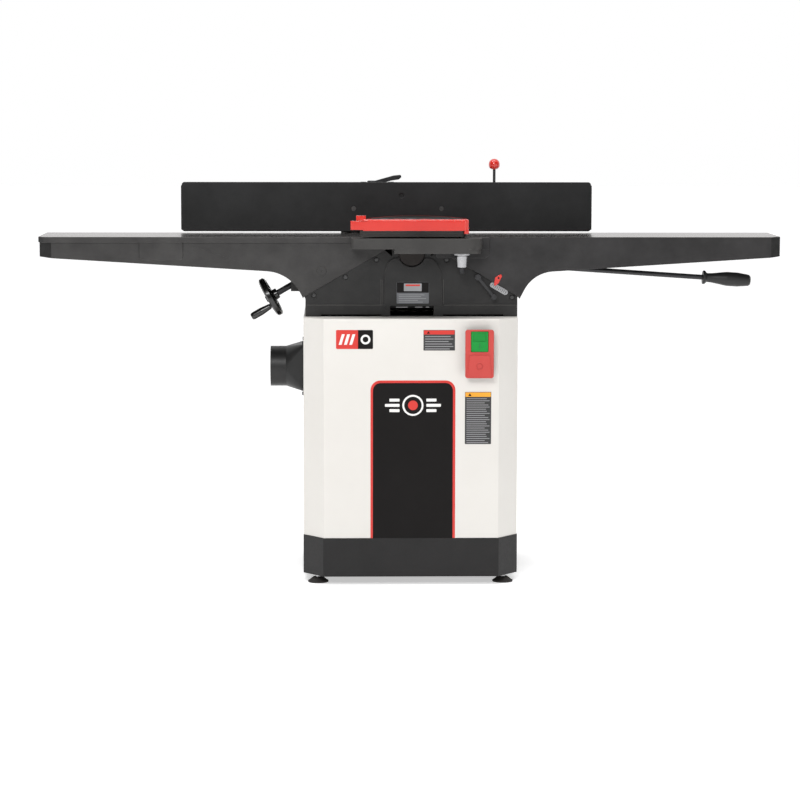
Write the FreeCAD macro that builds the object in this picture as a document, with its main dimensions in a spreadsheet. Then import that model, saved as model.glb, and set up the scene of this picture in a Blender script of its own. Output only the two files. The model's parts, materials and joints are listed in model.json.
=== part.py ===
import FreeCAD, Part
import math
import os
import Sketcher

# Eight-inch closed-stand jointer. Millimetres, +X towards the infeed end, +Y away from the operator,
# +Z up. The origin is on the floor under the middle of the tables, level with their rear edges.

SIZES = {
    # tables and ways
    "table_top": 858.4, "table_width": 229.0, "outfeed_end": 922.5, "infeed_end": 918.5,
    "lip_reach": 28.0, "lip_depth": 14.0, "lip_step": 6.0, "apron_wall": 11.0, "top_plate": 20.0,
    "way_angle": 30.0, "way_foot": 711.5, "bed_half": 263.0, "head_x": 2.0,
    "tongue_half": 62.0, "tongue_depth": 16.0, "gib_width": 8.0, "slide_gap": 0.35,
    # cutterhead
    "knife_radius": 40.5, "head_radius": 38.5, "head_front": 199.0, "head_length": 203.0,
    "journal_radius": 10.0, "bearing_radius": 26.0,
    "small_pulley": 25.0, "big_pulley": 40.0, "belt_gap": 0.3, "belt_thick": 5.0, "belt_width": 20.0,
    "belt_plane": 72.0,
    # stand
    "stand_half": 266.0, "stand_front": 294.0, "stand_rear": 186.0, "corner_x": 50.0, "corner_y": 63.0,
    "stand_top": 661.0, "stand_split": 116.5, "stand_floor": 20.0, "sheet_wall": 3.0,
    "foot_x": 230.0, "foot_front": 249.0, "foot_rear": 150.0, "foot_radius": 25.5,
    # dust outlet
    "port_y": 62.0, "port_height": 523.0, "port_radius": 50.8, "port_wall": 2.6, "port_tip": 351.0,
    "hood_half": 60.0, "hood_tip": 311.0,
    # motor
    "motor_z": 300.0, "motor_radius": 82.0, "motor_front": 160.0, "motor_rear": 36.0,
    # fence
    "fence_face": 24.0, "fence_gap": 4.0, "fence_height": 125.0, "fence_left": 576.0, "fence_right": 464.0,
    "fence_plate": 9.0, "tilt_back": 10.0, "tilt_rise": 16.0, "ear_left": 140.0, "ear_right": 83.5,
    # guard and rabbeting arm
    "pivot_x": 124.0, "pivot_y": 270.0, "arm_front": 309.0, "guard_low": 877.0, "guard_high": 905.0,
    # handles
    "screw_rise": 36.0, "wheel_radius": 52.0, "wheel_reach": 352.0, "lever_x": 305.0, "lever_z": 784.0,
    "lever_y": 169.0, "lever_tilt": 3.86,
}

doc = FreeCAD.newDocument("jointer")
sheet = doc.addObject("Spreadsheet::Sheet", "Sizes")
for row, (alias, size) in enumerate(SIZES.items(), start=1):
    sheet.set("A%d" % row, alias.replace("_", " "))
    sheet.set("B%d" % row, str(size))
    sheet.setAlias("B%d" % row, alias)
doc.recompute()


class Size:
    """A length that is known both as a number and as the formula that the sheet gives it."""

    def __init__(self, value, text):
        self.value = value
        self.text = text

    def __add__(self, other):
        return Size(self.value + number(other), "(%s + %s)" % (self.text, formula(other)))

    def __sub__(self, other):
        return Size(self.value - number(other), "(%s - %s)" % (self.text, formula(other)))

    def __mul__(self, other):
        return Size(self.value * number(other), "(%s * %s)" % (self.text, formula(other)))

    def __truediv__(self, other):
        return Size(self.value / number(other), "(%s / %s)" % (self.text, formula(other)))

    def __neg__(self):
        return self * -1.0

    def __radd__(self, other):
        return self + other

    def __rmul__(self, other):
        return self * other

    def __rsub__(self, other):
        return -self + other


def number(item):
    return item.value if isinstance(item, Size) else float(item)


def formula(item):
    if isinstance(item, Size):
        return item.text
    return "(%r)" % float(item) if item < 0 else repr(float(item))


def size(alias):
    return Size(float(sheet.get(alias)), "Sizes." + alias)


def bind(thing, path, item):
    """Set one property of an object from a size and keep it bound to the sheet."""
    if isinstance(item, Size):
        thing.setExpression(path, item.text)
    return number(item)


# ---------------------------------------------------------------- helpers for sketches and bodies

# How far a sketch moves along its plane's own normal when its part coordinate grows.
PLANE_SIGN = {"XY": 1.0, "XZ": -1.0, "YZ": 1.0}
PARTS = []


def keep(thing, label):
    thing.Label = label
    PARTS.append(thing)
    return thing


def new_body(label):
    return keep(doc.addObject("PartDesign::Body", label), label)


def place(thing, x, y, z, rotation=None):
    """Put an object at a bound position, turned by a plain rotation."""
    turn = rotation if rotation else FreeCAD.Rotation()
    thing.Placement = FreeCAD.Placement(FreeCAD.Vector(number(x), number(y), number(z)), turn)
    for axis, item in (("x", x), ("y", y), ("z", z)):
        bind(thing, "Placement.Base." + axis, item)
    return thing


def rectangle(x_low, x_high, y_low, y_high, radius=0):
    return [(x_low, y_low, radius), (x_high, y_low, radius), (x_high, y_high, radius), (x_low, y_high, radius)]


def ring(x, y, radius):
    return ("ring", x, y, radius)


def tie(sketch, geometry, point, x, y):
    """Hold one point of a sketch at bound distances from the sketch's origin."""
    for kind, item in (("DistanceX", x), ("DistanceY", y)):
        index = sketch.addConstraint(Sketcher.Constraint(kind, -1, 1, geometry, point, number(item)))
        bind(sketch, "Constraints[%d]" % index, item)


def draw_ring(sketch, x, y, radius):
    centre = FreeCAD.Vector(number(x), number(y), 0)
    circle = sketch.addGeometry(Part.Circle(centre, FreeCAD.Vector(0, 0, 1), number(radius)))
    tie(sketch, circle, 3, x, y)
    index = sketch.addConstraint(Sketcher.Constraint("Radius", circle, number(radius)))
    bind(sketch, "Constraints[%d]" % index, radius)


def draw_outline(sketch, corners):
    """A closed outline through corners (x, y) or (x, y, rounding radius)."""
    up = FreeCAD.Vector(0, 0, 1)
    spots = [FreeCAD.Vector(number(c[0]), number(c[1]), 0) for c in corners]
    radii = [number(c[2]) if len(c) > 2 else 0.0 for c in corners]
    count = len(corners)
    arrive = []
    leave = []
    arcs = []
    for i in range(count):
        before = (spots[i - 1] - spots[i]).normalize()
        after = (spots[(i + 1) % count] - spots[i]).normalize()
        half = before.getAngle(after) / 2
        reach = radii[i] / math.tan(half) if radii[i] else 0.0
        arrive.append(spots[i] + before * reach)
        leave.append(spots[i] + after * reach)
        if not radii[i]:
            arcs.append(None)
            continue
        centre = spots[i] + (before + after).normalize() * (radii[i] / math.sin(half))
        left_turn = before.cross(after).z < 0
        first, last = (arrive[i], leave[i]) if left_turn else (leave[i], arrive[i])
        start = math.atan2(first.y - centre.y, first.x - centre.x)
        end = math.atan2(last.y - centre.y, last.x - centre.x)
        if end < start:
            end += 2 * math.pi
        arc = sketch.addGeometry(Part.ArcOfCircle(Part.Circle(centre, up, radii[i]), start, end))
        arcs.append((arc, 1 if left_turn else 2, 2 if left_turn else 1))
    lines = [sketch.addGeometry(Part.LineSegment(leave[i], arrive[(i + 1) % count])) for i in range(count)]
    for i in range(count):
        if arcs[i] is None:
            sketch.addConstraint(Sketcher.Constraint("Coincident", lines[i - 1], 2, lines[i], 1))
            tie(sketch, lines[i], 1, corners[i][0], corners[i][1])
            continue
        arc, enter, leave_point = arcs[i]
        corner = sketch.addGeometry(Part.Point(spots[i]), True)
        sketch.addConstraint(Sketcher.Constraint("Tangent", lines[i - 1], 2, arc, enter))
        sketch.addConstraint(Sketcher.Constraint("Tangent", arc, leave_point, lines[i], 1))
        sketch.addConstraint(Sketcher.Constraint("PointOnObject", corner, 1, lines[i - 1]))
        sketch.addConstraint(Sketcher.Constraint("PointOnObject", corner, 1, lines[i]))
        tie(sketch, corner, 1, corners[i][0], corners[i][1])
        index = sketch.addConstraint(Sketcher.Constraint("Radius", arc, radii[i]))
        bind(sketch, "Constraints[%d]" % index, corners[i][2])


def new_sketch(body, plane, level, loops, tilt=0.0):
    """A sketch on one of the body's own origin planes, moved along it to a level."""
    sketch = body.newObject("Sketcher::SketchObject", body.Label + "_sketch")
    role = plane + "_Plane"
    sketch.AttachmentSupport = [(next(f for f in body.Origin.OriginFeatures if f.Role == role), "")]
    sketch.MapMode = "FlatFace"
    shift = level * PLANE_SIGN[plane]
    turn = FreeCAD.Rotation(FreeCAD.Vector(1, 0, 0), tilt)
    sketch.AttachmentOffset = FreeCAD.Placement(FreeCAD.Vector(0, 0, number(shift)), turn)
    bind(sketch, "AttachmentOffset.Base.z", shift)
    for loop in loops:
        if loop[0] == "ring":
            draw_ring(sketch, *loop[1:])
        else:
            draw_outline(sketch, loop)
    return sketch


def feature(body, kind, sketch, length):
    made = body.newObject("PartDesign::" + kind, "%s_%s" % (body.Label, kind.lower()))
    made.Profile = sketch
    made.Length = number(length)
    bind(made, "Length", length)
    sketch.Visibility = False
    return made


def pad(body, plane, low, high, *loops):
    """Material between two levels along the plane's part axis."""
    start = high if plane == "XZ" else low
    return feature(body, "Pad", new_sketch(body, plane, start, loops), high - low)


def pocket(body, plane, low, high, *loops):
    """Material taken away between two levels along the plane's part axis."""
    start = low if plane == "XZ" else high
    doc.recompute()
    before = body.Shape.Volume
    made = feature(body, "Pocket", new_sketch(body, plane, start, loops), high - low)
    doc.recompute()
    if body.Shape.Volume > before - 0.01:
        raise RuntimeError("a pocket of %s cuts nothing" % body.Label)
    return made


def turned(body, corners, kind="Revolution"):
    """A solid of revolution about the body's own Z: corners are (radius, height)."""
    sketch = new_sketch(body, "XZ", 0, [corners])
    made = body.newObject("PartDesign::" + kind, "%s_turned" % body.Label)
    made.Profile = sketch
    made.ReferenceAxis = (sketch, ["V_Axis"])
    made.Angle = 360.0
    return made


def round_edges(body, radius, wanted, kind="Fillet"):
    """Fillet or chamfer the edges that a test picks."""
    doc.recompute()
    tip = body.Tip
    names = ["Edge%d" % (i + 1) for i, edge in enumerate(tip.Shape.Edges) if wanted(edge)]
    made = body.newObject("PartDesign::" + kind, "%s_%s" % (body.Label, kind.lower()))
    made.Base = (tip, names)
    if kind == "Fillet":
        made.Radius = number(radius)
        bind(made, "Radius", radius)
    else:
        made.Size = number(radius)
        bind(made, "Size", radius)
    return made


def loft(body, first, second, kind="Additive"):
    """A loft between two sketches, each (plane, level, outline)."""
    sketches = [new_sketch(body, plane, level, [outline]) for plane, level, outline in (first, second)]
    made = body.newObject("PartDesign::%sLoft" % kind, body.Label + "_loft")
    made.Profile = sketches[0]
    made.Sections = [sketches[1]]
    made.Ruled = True
    return made


def cluster(label, spots, stack, rotation=None, bore=0.0):
    """Identical fasteners: each a stack of (kind, height, radius, start) along its own axis."""
    copies = []
    for spot in spots:
        pieces = []
        for kind, height, radius, start in stack:
            piece = doc.addObject("Part::" + kind, label + "_piece")
            piece.Height = number(height)
            if kind == "Cone":
                piece.Radius1, piece.Radius2 = radius
            elif kind == "Prism":
                piece.Polygon = 6
                piece.Circumradius = number(radius)
            else:
                piece.Radius = number(radius)
                bind(piece, "Radius", radius)
            piece.Placement.Base = FreeCAD.Vector(0, 0, number(start))
            pieces.append(piece)
        if len(pieces) > 1:
            whole = doc.addObject("Part::MultiFuse", label + "_fused")
            whole.Shapes = pieces
        else:
            whole = pieces[0]
        if bore:
            drill = doc.addObject("Part::Cylinder", label + "_bore")
            drill.Radius, drill.Height = bore, 100
            nut = doc.addObject("Part::Cut", label + "_nut")
            nut.Base, nut.Tool = whole, drill
            whole = nut
        place(whole, *spot, rotation)
        copies.append(whole)
    return copies if label.startswith("_") else gather(label, copies)


def gather(label, members):
    """One node that holds several separate solids."""
    group = doc.addObject("Part::Compound", label)
    group.Links = members
    return keep(group, label)


def turn_about(axis, degrees):
    return FreeCAD.Rotation(FreeCAD.Vector(*axis), degrees)


# An axis along local Z laid towards the operator, away from the operator, or along the tables.
TO_OPERATOR = turn_about((1, 0, 0), 90)
TO_REAR = turn_about((1, 0, 0), -90)
TO_RIGHT = turn_about((0, 1, 0), 90)
TO_LEFT = turn_about((0, 1, 0), -90)

# ---------------------------------------------------------------- shared levels

top = size("table_top")
width = size("table_width")
head_x = size("head_x")
head_z = top - size("knife_radius")
bed_half = size("bed_half")
way_foot = size("way_foot")
WAY_ANGLE = number(size("way_angle"))
WAY_SLOPE = math.tan(math.radians(WAY_ANGLE))
WAY_COS = math.cos(math.radians(WAY_ANGLE))
WAY_SIN = math.sin(math.radians(WAY_ANGLE))
way_centre = -width / 2
front = -size("stand_front")
stand_half = size("stand_half")
stand_top = size("stand_top")
split = size("stand_split")
gap = size("slide_gap")


def way_height(reach):
    """Height of the way surface at a distance from the cutterhead's axis, along the tables."""
    return way_foot + (bed_half - reach) * WAY_SLOPE


def along(side, reach):
    return head_x + reach * side


def way_feature(body, kind, side, reach, length, loop):
    """A pad or pocket along the inclined way, outwards from a distance to the cutterhead's axis."""
    sketch = new_sketch(body, "YZ", 0, [loop])
    base_x, base_z = along(side, reach), way_height(reach)
    turn = FreeCAD.Rotation(FreeCAD.Vector(1, 0, 0), WAY_ANGLE * side)
    sketch.AttachmentOffset = FreeCAD.Placement(FreeCAD.Vector(0, number(base_z), number(base_x)), turn)
    bind(sketch, "AttachmentOffset.Base.y", base_z)
    bind(sketch, "AttachmentOffset.Base.z", base_x)
    made = feature(body, kind, sketch, length)
    outward_is_normal = side > 0
    made.Reversed = (not outward_is_normal) if kind == "Pad" else outward_is_normal
    return made


def dovetail(half, depth, front_extra=0.0, rise=0.0):
    """Cross-section of a dovetail that widens downwards from the way surface."""
    flare = depth * WAY_SLOPE
    lift = rise * WAY_SLOPE
    return [(way_centre - half - front_extra + lift, rise), (way_centre - half - front_extra - flare, -depth),
            (way_centre + half + flare, -depth), (way_centre + half - lift, rise)]


# ---------------------------------------------------------------- stand

def stand_outline(grow=0.0):
    """Plan of the stand: a rectangle with its two front corners cut off."""
    half = stand_half + grow
    corner_x, corner_y = size("corner_x"), size("corner_y")
    face = front - grow
    back = size("stand_rear") + grow
    return [(-half + corner_x, face), (half - corner_x, face), (half, face + corner_y), (half, back),
            (-half, back), (-half, face + corner_y)]


def cabinet():
    body = new_body("cabinet")
    wall = size("sheet_wall")
    pad(body, "XY", split, stand_top, stand_outline())
    round_edges(body, 4.0, lambda edge: edge.BoundBox.ZMin > 660 and edge.BoundBox.YMin < 180)
    pocket(body, "XY", split, stand_top - wall, stand_outline(-wall))
    pocket(body, "XY", stand_top - 10, stand_top + 1, rectangle(-66, 70, -198, 3, 5),
           rectangle(-58, 62, 52, 108, 5))
    pocket(body, "YZ", -stand_half - 1, -stand_half + 8, ring(-size("port_y"), size("port_height"), 50.0))
    pocket(body, "XZ", size("stand_rear") - 8, size("stand_rear") + 1, rectangle(-150, 150, 190, 560, 8),
           ring(210, 180, 8.0), *[ring(x, z, 2.45) for x, z in panel_spots()])
    port_y, port_z = -size("port_y"), size("port_height")
    pocket(body, "YZ", -stand_half - 1, -stand_half + 8,
           *[ring(port_y + a, port_z + b, 2.45) for a in (-64, 64) for b in (-64, 64)])
    pocket(body, "XY", stand_top - 10, stand_top + 1, *[ring(x, y, 4.0) for x, y in BED_BOLT_SPOTS])


BED_BOLT_SPOTS = [(x, y) for x in (-250, 253) for y in (-150, -40)]


def panel_spots():
    """The access panel's screws, as seen from behind."""
    return [(x, z) for x in (-157, 157) for z in (185, 375, 565)]


def cabinet_base():
    body = new_body("cabinet_base")
    floor = size("stand_floor")
    pad(body, "XY", floor, split, stand_outline(1.0))
    pocket(body, "XY", floor + 4, split, stand_outline(-3.0))
    spots = [(side * size("foot_x"), y) for side in (-1, 1) for y in (-size("foot_front"), size("foot_rear"))]
    pocket(body, "XY", floor - 1, floor + 5, *[ring(x, y, 6.0) for x, y in spots])
    pocket(body, "XY", floor - 1, floor + 5, rectangle(-120, 120, -170, 60, 10))


def feet():
    depths = (-size("foot_front"), size("foot_rear"))
    spots = [(side * size("foot_x"), y, 0) for side in (-1, 1) for y in depths]
    pad_radius = size("foot_radius")
    cluster("levelling_feet", spots, [("Cylinder", 4, pad_radius, 0), ("Cone", 9, (24.0, 13.0), 4)], bore=5.95)
    cluster("foot_studs", spots, [("Cylinder", 46, 5.9, 3)])
    lift = size("stand_floor")
    nuts = [(x, y, lift) for x, y, _ in spots]
    cluster("foot_nuts", nuts, [("Prism", 7, 10.5, 4)], bore=5.95)


def access_panel():
    body = new_body("access_panel")
    rear = size("stand_rear")
    pad(body, "XZ", rear, rear + 2, rectangle(-165, 165, 175, 575, 8))
    slots = [rectangle(-70, 70, z, z + 6, 2.9) for z in range(240, 420, 18)]
    pocket(body, "XZ", rear - 1, rear + 3, *slots, *[ring(x, z, 2.45) for x, z in panel_spots()])
    spots = [(x, rear + 2, z) for x, z in panel_spots()]
    return cluster("_panel_screws", spots, [("Cylinder", 3, 5.0, 0), ("Cylinder", 8, 2.4, -7.9)], TO_REAR)


def dust_port():
    body = new_body("dust_port")
    y, z = -size("port_y"), size("port_height")
    half, wall, radius = size("hood_half"), size("port_wall"), size("port_radius")
    base, hood_tip, tip = -stand_half, -size("hood_tip"), -size("port_tip")
    square = rectangle(y - half, y + half, z - half, z + half, 6)
    round_end = rectangle(y - radius, y + radius, z - radius, z + radius, 50)
    loft(body, ("YZ", base, square), ("YZ", hood_tip, round_end))
    pad(body, "YZ", tip, hood_tip, ring(y, z, radius))
    inner = half - wall
    bore = radius - wall
    loft(body, ("YZ", base, rectangle(y - inner, y + inner, z - inner, z + inner, 4)),
         ("YZ", hood_tip, rectangle(y - bore, y + bore, z - bore, z + bore, 47)), "Subtractive")
    pocket(body, "YZ", tip - 1, hood_tip + 1, ring(y, z, bore))
    flange = half + 9
    pad(body, "YZ", base - 2, base, rectangle(y - flange, y + flange, z - flange, z + flange, 8),
        rectangle(y - inner, y + inner, z - inner, z + inner, 4))
    pocket(body, "YZ", base - 3, base + 1, *[ring(y + a, z + b, 2.45) for a in (-64, 64) for b in (-64, 64)])
    spots = [(base - 2, y + a * 64, z + b * 64) for a in (-1, 1) for b in (-1, 1)]
    return cluster("_port_screws", spots, [("Cylinder", 2.6, 4.5, 0), ("Cylinder", 8, 2.4, -7.9)], TO_LEFT)


def chip_chute():
    """A shallow hopper under the bed's throat, and a duct that slopes down to the outlet."""
    body = new_body("chip_chute")
    middle, centre_z = -size("port_y"), size("port_height")
    upper, mouth = stand_top - 4, -stand_half + 4
    for make, wall, over in ((pad, 0.0, 0.0), (pocket, 2.0, 3.0)):
        reach = 56 - wall
        left, right = -62 + wall, 66 - wall
        duct = [(left, upper - 8), (right, upper - 8), (right, 590 + wall), (-140, centre_z - reach),
                (mouth - over, centre_z - reach), (mouth - over, centre_z + reach), (-150, centre_z + reach)]
        make(body, "XZ", middle - reach, middle + reach, duct)
        make(body, "XY", upper - 26 + wall, upper + over, rectangle(left, right, -194 + wall, -wall, 3))


def motor():
    axis_x, axis_z = head_x, size("motor_z")
    radius, nose, tail = size("motor_radius"), -size("motor_front"), size("motor_rear")
    body = new_body("motor_body")
    pad(body, "XZ", nose, tail, ring(axis_x, axis_z, radius))
    fins = [ring(axis_x + radius * math.cos(a), axis_z + radius * math.sin(a), 3.0)
            for a in [math.radians(15 * k) for k in range(0, 24) if k not in (17, 18, 19)]]
    for fin in fins:
        pocket(body, "XZ", nose + 25, tail - 25, fin)
    pad(body, "XZ", nose + 40, tail - 40, rectangle(axis_x - 70, axis_x + 70, axis_z - 88, axis_z - 60, 4))
    pocket(body, "XZ", nose + 10, tail - 10, ring(axis_x, axis_z, radius - 12))
    pocket(body, "XZ", tail - 11, tail + 1, ring(axis_x, axis_z, 12.05))
    pocket(body, "XZ", nose + 4, nose + 11, ring(axis_x, axis_z, 12.05))
    rotor = new_body("motor_rotor")
    turned(rotor, [(0, 0), (11, 0, 1), (11, 6), (50, 6, 2), (50, 160, 2), (12, 160), (12, 235, 1), (0, 235)])
    place(rotor, axis_x, nose + 5, axis_z, TO_REAR)
    plate = new_body("motor_plate")
    pad(plate, "XY", axis_z - 94, axis_z - 88, rectangle(-120, 124, -150, 20, 6),
        *[ring(x, y, 4.0) for x in (-90, 94) for y in (-128, -3)])
    bars = []
    for y in (-140, -15):
        bar = doc.addObject("Part::Box", "motor_rail")
        bar.Length = 2 * number(stand_half) - 6.4
        bind(bar, "Length", stand_half * 2 - 6.4)
        bar.Width, bar.Height = 25, 12
        place(bar, -stand_half + 3.2, y, axis_z - 106)
        bars.append(bar)
    gather("motor_rails", bars)
    spots = [(x, y, axis_z - 88) for x in (-90, 94) for y in (-128, -3)]
    return cluster("_motor_bolts", spots, [("Prism", 6, 8.0, 0), ("Cylinder", 6, 3.9, -6)])


def pulley(label, radius, height):
    """A crowned flat pulley between two low flanges, on an axis along the machine's depth."""
    body = new_body(label)
    bore = size("journal_radius") if label == "cutterhead_pulley" else 12.0
    half = size("belt_width") / 2 + 0.6
    turned(body, [(bore, -half - 2), (radius + 3, -half - 2), (radius + 3, -half), (radius, -half),
                  (radius, half), (radius + 3, half), (radius + 3, half + 2), (bore, half + 2)])
    return place(body, head_x, size("belt_plane"), height, TO_REAR)


def belt_loop(small, big, low_z, high_z):
    """A belt's outline round two pulleys: two arcs and the two straight runs between them."""
    distance = number(high_z) - number(low_z)
    lean = math.asin((number(big) - number(small)) / distance)
    centre_x = number(head_x)
    points = []
    for radius, height in ((number(small), number(high_z)), (number(big), number(low_z))):
        out, up = radius * math.cos(lean), radius * math.sin(lean)
        points.append([FreeCAD.Vector(centre_x + side * out, 0, height + up) for side in (-1, 1)])
    crest = FreeCAD.Vector(centre_x, 0, number(high_z) + number(small))
    sole = FreeCAD.Vector(centre_x, 0, number(low_z) - number(big))
    (high_left, high_right), (low_left, low_right) = points
    curves = [Part.Arc(high_left, crest, high_right), Part.LineSegment(high_right, low_right),
              Part.Arc(low_right, sole, low_left), Part.LineSegment(low_left, high_left)]
    edges = [curve.toShape() for curve in curves]
    return Part.Face(Part.Wire(edges))


def drive_belt():
    """Neither a pad nor a primitive fits its tangent runs, so its shape is set directly."""
    small, big = size("small_pulley") + size("belt_gap"), size("big_pulley") + size("belt_gap")
    thick, wide = number(size("belt_thick")), number(size("belt_width"))
    low_z, high_z = size("motor_z"), head_z
    outer = belt_loop(small + thick, big + thick, low_z, high_z)
    inner = belt_loop(small, big, low_z, high_z)
    band = outer.cut(inner).extrude(FreeCAD.Vector(0, wide, 0))
    belt = doc.addObject("Part::Feature", "drive_belt")
    belt.Shape = band
    belt.Placement.Base = FreeCAD.Vector(0, number(size("belt_plane")) - wide / 2, 0)
    keep(belt, "drive_belt")


def belt_guard():
    body = new_body("belt_guard")
    pad(body, "XZ", 54, 106, rectangle(-60, 64, stand_top, 852, 10))
    pocket(body, "XZ", 52, 104, rectangle(-57.5, 61.5, stand_top - 20, 849.6, 8))


# ---------------------------------------------------------------- bed

def bed():
    body = new_body("bed")
    rear = 30.0
    brow, crown = 66, 812
    outline = [(along(-1, bed_half), stand_top), (along(1, bed_half), stand_top),
               (along(1, bed_half), way_foot), (along(1, brow), way_height(brow)), (along(1, 50), crown),
               (along(-1, 50), crown), (along(-1, brow), way_height(brow)), (along(-1, bed_half), way_foot)]
    pad(body, "XZ", -221, rear, outline)
    pocket(body, "XZ", -222, -217, *[ring(x, z, 7.5) for x, z in gib_screw_spots()])
    pocket(body, "XY", stand_top, stand_top + 16, *[ring(x, y, 4.0) for x, y in BED_BOLT_SPOTS])
    # the chip throat and the hollows either side of it
    pocket(body, "XY", stand_top, 830, rectangle(-64, 68, -196, 1, 6))
    for low, high in ((-239, -76), (80, 243)):
        pocket(body, "XY", stand_top, 689, rectangle(low, high, -208, 17, 12))
    for side in (-1, 1):
        groove = dovetail(size("tongue_half") + gap, size("tongue_depth") + gap, size("gib_width") + 0.05, 2.0)
        way_feature(body, "Pocket", side, 69, 300, groove)
    doc.recompute()
    pocket(body, "XZ", -203, 7, ring(head_x, head_z, 44.0))
    pocket(body, "XZ", -222, -203, ring(head_x, head_z, 34.0))
    pocket(body, "XZ", 7, 31, ring(head_x, head_z, 34.0))
    # the front face: an opening under the panel, a raised panel, a foot flange
    pocket(body, "XZ", -222, -195, rectangle(-51, 57, stand_top + 1.5, 686, 2))
    foot = stand_top + 1.5
    pad(body, "XZ", -223.5, -221, [(-258, foot), (-51, foot), (-51, 690, 3), (-258, 690, 3)],
        [(57, foot), (262, foot), (262, 690, 3), (57, 690, 3)])
    pad(body, "XZ", -225.5, -221, [(-66, 688), (78, 688), (76, 770), (58, 806, 26), (-54, 806, 26), (-64, 770)])
    pad(body, "XZ", -221, -203, rectangle(-46, 50, 806, 832, 4))
    pocket(body, "XZ", -227, -203, ring(head_x, head_z, 34.0))
    pocket(body, "XZ", -225, -214, rectangle(-223, -72, stand_top - 1, 666.5),
           rectangle(80, 231, stand_top - 1, 666.5))


def gib_screw_spots():
    """Where the gib screws' axes cross the bed's front face, just under the ways."""
    reaches = ((-1, 241.5), (-1, 163.5), (-1, 87.0), (1, 250.0), (1, 87.0))
    return [(along(side, reach), way_height(reach) - 10.5) for side, reach in reaches]


def gib_screws():
    spots = [(x, -217, z) for x, z in gib_screw_spots()]
    cluster("gib_screws", spots, [("Prism", 4, 5.2, 0), ("Cylinder", 4.2, 3.0, 3)], TO_OPERATOR)


def gibs():
    """The adjusting strips between the tables' dovetails and the bed's front cheek; they stay in the bed."""
    half, wide, depth = size("tongue_half") + gap, size("gib_width"), size("tongue_depth")
    flare = depth * WAY_SLOPE
    brink = 0.6
    lead = brink * WAY_SLOPE
    loop = [(way_centre - half - wide - lead, -brink), (way_centre - half - wide - flare, -depth),
            (way_centre - half - flare, -depth), (way_centre - half - lead, -brink)]
    strips = []
    for side in (-1, 1):
        body = doc.addObject("PartDesign::Body", "gib")
        way_feature(body, "Pad", side, 74, 210, loop)
        strips.append(body)
    gather("way_gibs", strips)


def bearing_housings():
    bore = size("bearing_radius")
    housings = []
    for low, high, hole_low, hole_high in ((-227.5, -203, 0, 0), (7, 30, 23, 30)):
        body = doc.addObject("PartDesign::Body", "housing")
        step = 0 if hole_high else 10
        pad(body, "XZ", low + step, high, ring(head_x, head_z, 33.5))
        if step:
            pad(body, "XZ", low, low + step + 1, ring(head_x, head_z, 30))
        if hole_high:
            pocket(body, "XZ", low, hole_low, ring(head_x, head_z, bore))
            pocket(body, "XZ", hole_low, hole_high, ring(head_x, head_z, 11.5))
        else:
            pocket(body, "XZ", low + 8.5, high, ring(head_x, head_z, bore))
        housings.append(body)
    gather("bearing_housings", housings)
    rings = []
    for low in (-218.5, 7.5):
        body = doc.addObject("PartDesign::Body", "bearing")
        bore = size("journal_radius") + 0.05
        turned(body, [(bore, 0, 0.6), (25.95, 0, 0.6), (25.95, 15, 0.6), (bore, 15, 0.6)])
        place(body, head_x, low, head_z, TO_REAR)
        rings.append(body)
    gather("cutterhead_bearings", rings)


def bed_bolts():
    spots = [(x, y, stand_top - 3) for x, y in BED_BOLT_SPOTS]
    return cluster("_bed_bolts", spots, [("Prism", 6, 8.0, -6), ("Cylinder", 17, 3.9, 0)])


# ---------------------------------------------------------------- cutterhead

def cutterhead():
    body = new_body("cutterhead_body")
    face, length = -size("head_front"), size("head_length")
    radius, journal = size("head_radius"), size("journal_radius")
    turned(body, [(0, -19), (journal, -19, 1), (journal, -3), (14, -3), (14, 0), (radius, 0, 1.5),
                  (radius, length, 1.5), (14, length), (14, length + 2), (journal, length + 2),
                  (journal, 292, 1), (0, 292)])
    doc.recompute()
    slot = new_sketch(body, "XY", length, [rectangle(-7, 7, 24, 45)])
    cut = feature(body, "Pocket", slot, length)
    spread = body.newObject("PartDesign::PolarPattern", "knife_slots")
    spread.Originals = [cut]
    spread.Axis = (slot, ["N_Axis"])
    spread.Angle = 360
    spread.Occurrences = 3
    body.Tip = spread
    place(body, head_x, face, head_z, TO_REAR)
    for label, low, high, base, tip in (("cutter_knives", 3.6, 6.6, 25, size("knife_radius") - 0.55),
                                        ("knife_wedges", -6.6, 3.5, 24.3, 36)):
        copies = []
        for turn in range(3):
            bar = doc.addObject("Part::Box", label + "_bar")
            bar.Length, bar.Width, bar.Height = high - low, number(tip) - base, number(length) - 3
            spin = FreeCAD.Placement(FreeCAD.Vector(), turn_about((0, 0, 1), 120 * turn))
            seat = FreeCAD.Placement(FreeCAD.Vector(number(head_x), number(face), number(head_z)), TO_REAR)
            bar.Placement = seat * spin * FreeCAD.Placement(FreeCAD.Vector(low, base, 1.5), FreeCAD.Rotation())
            copies.append(bar)
        gather(label, copies)


# ---------------------------------------------------------------- tables

# the rabbeting arm's bolts pass through the infeed table's front apron from inside
ARM_BOLT_X = (136, 157)
ARM_BOLT_Z = 828.5


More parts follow.
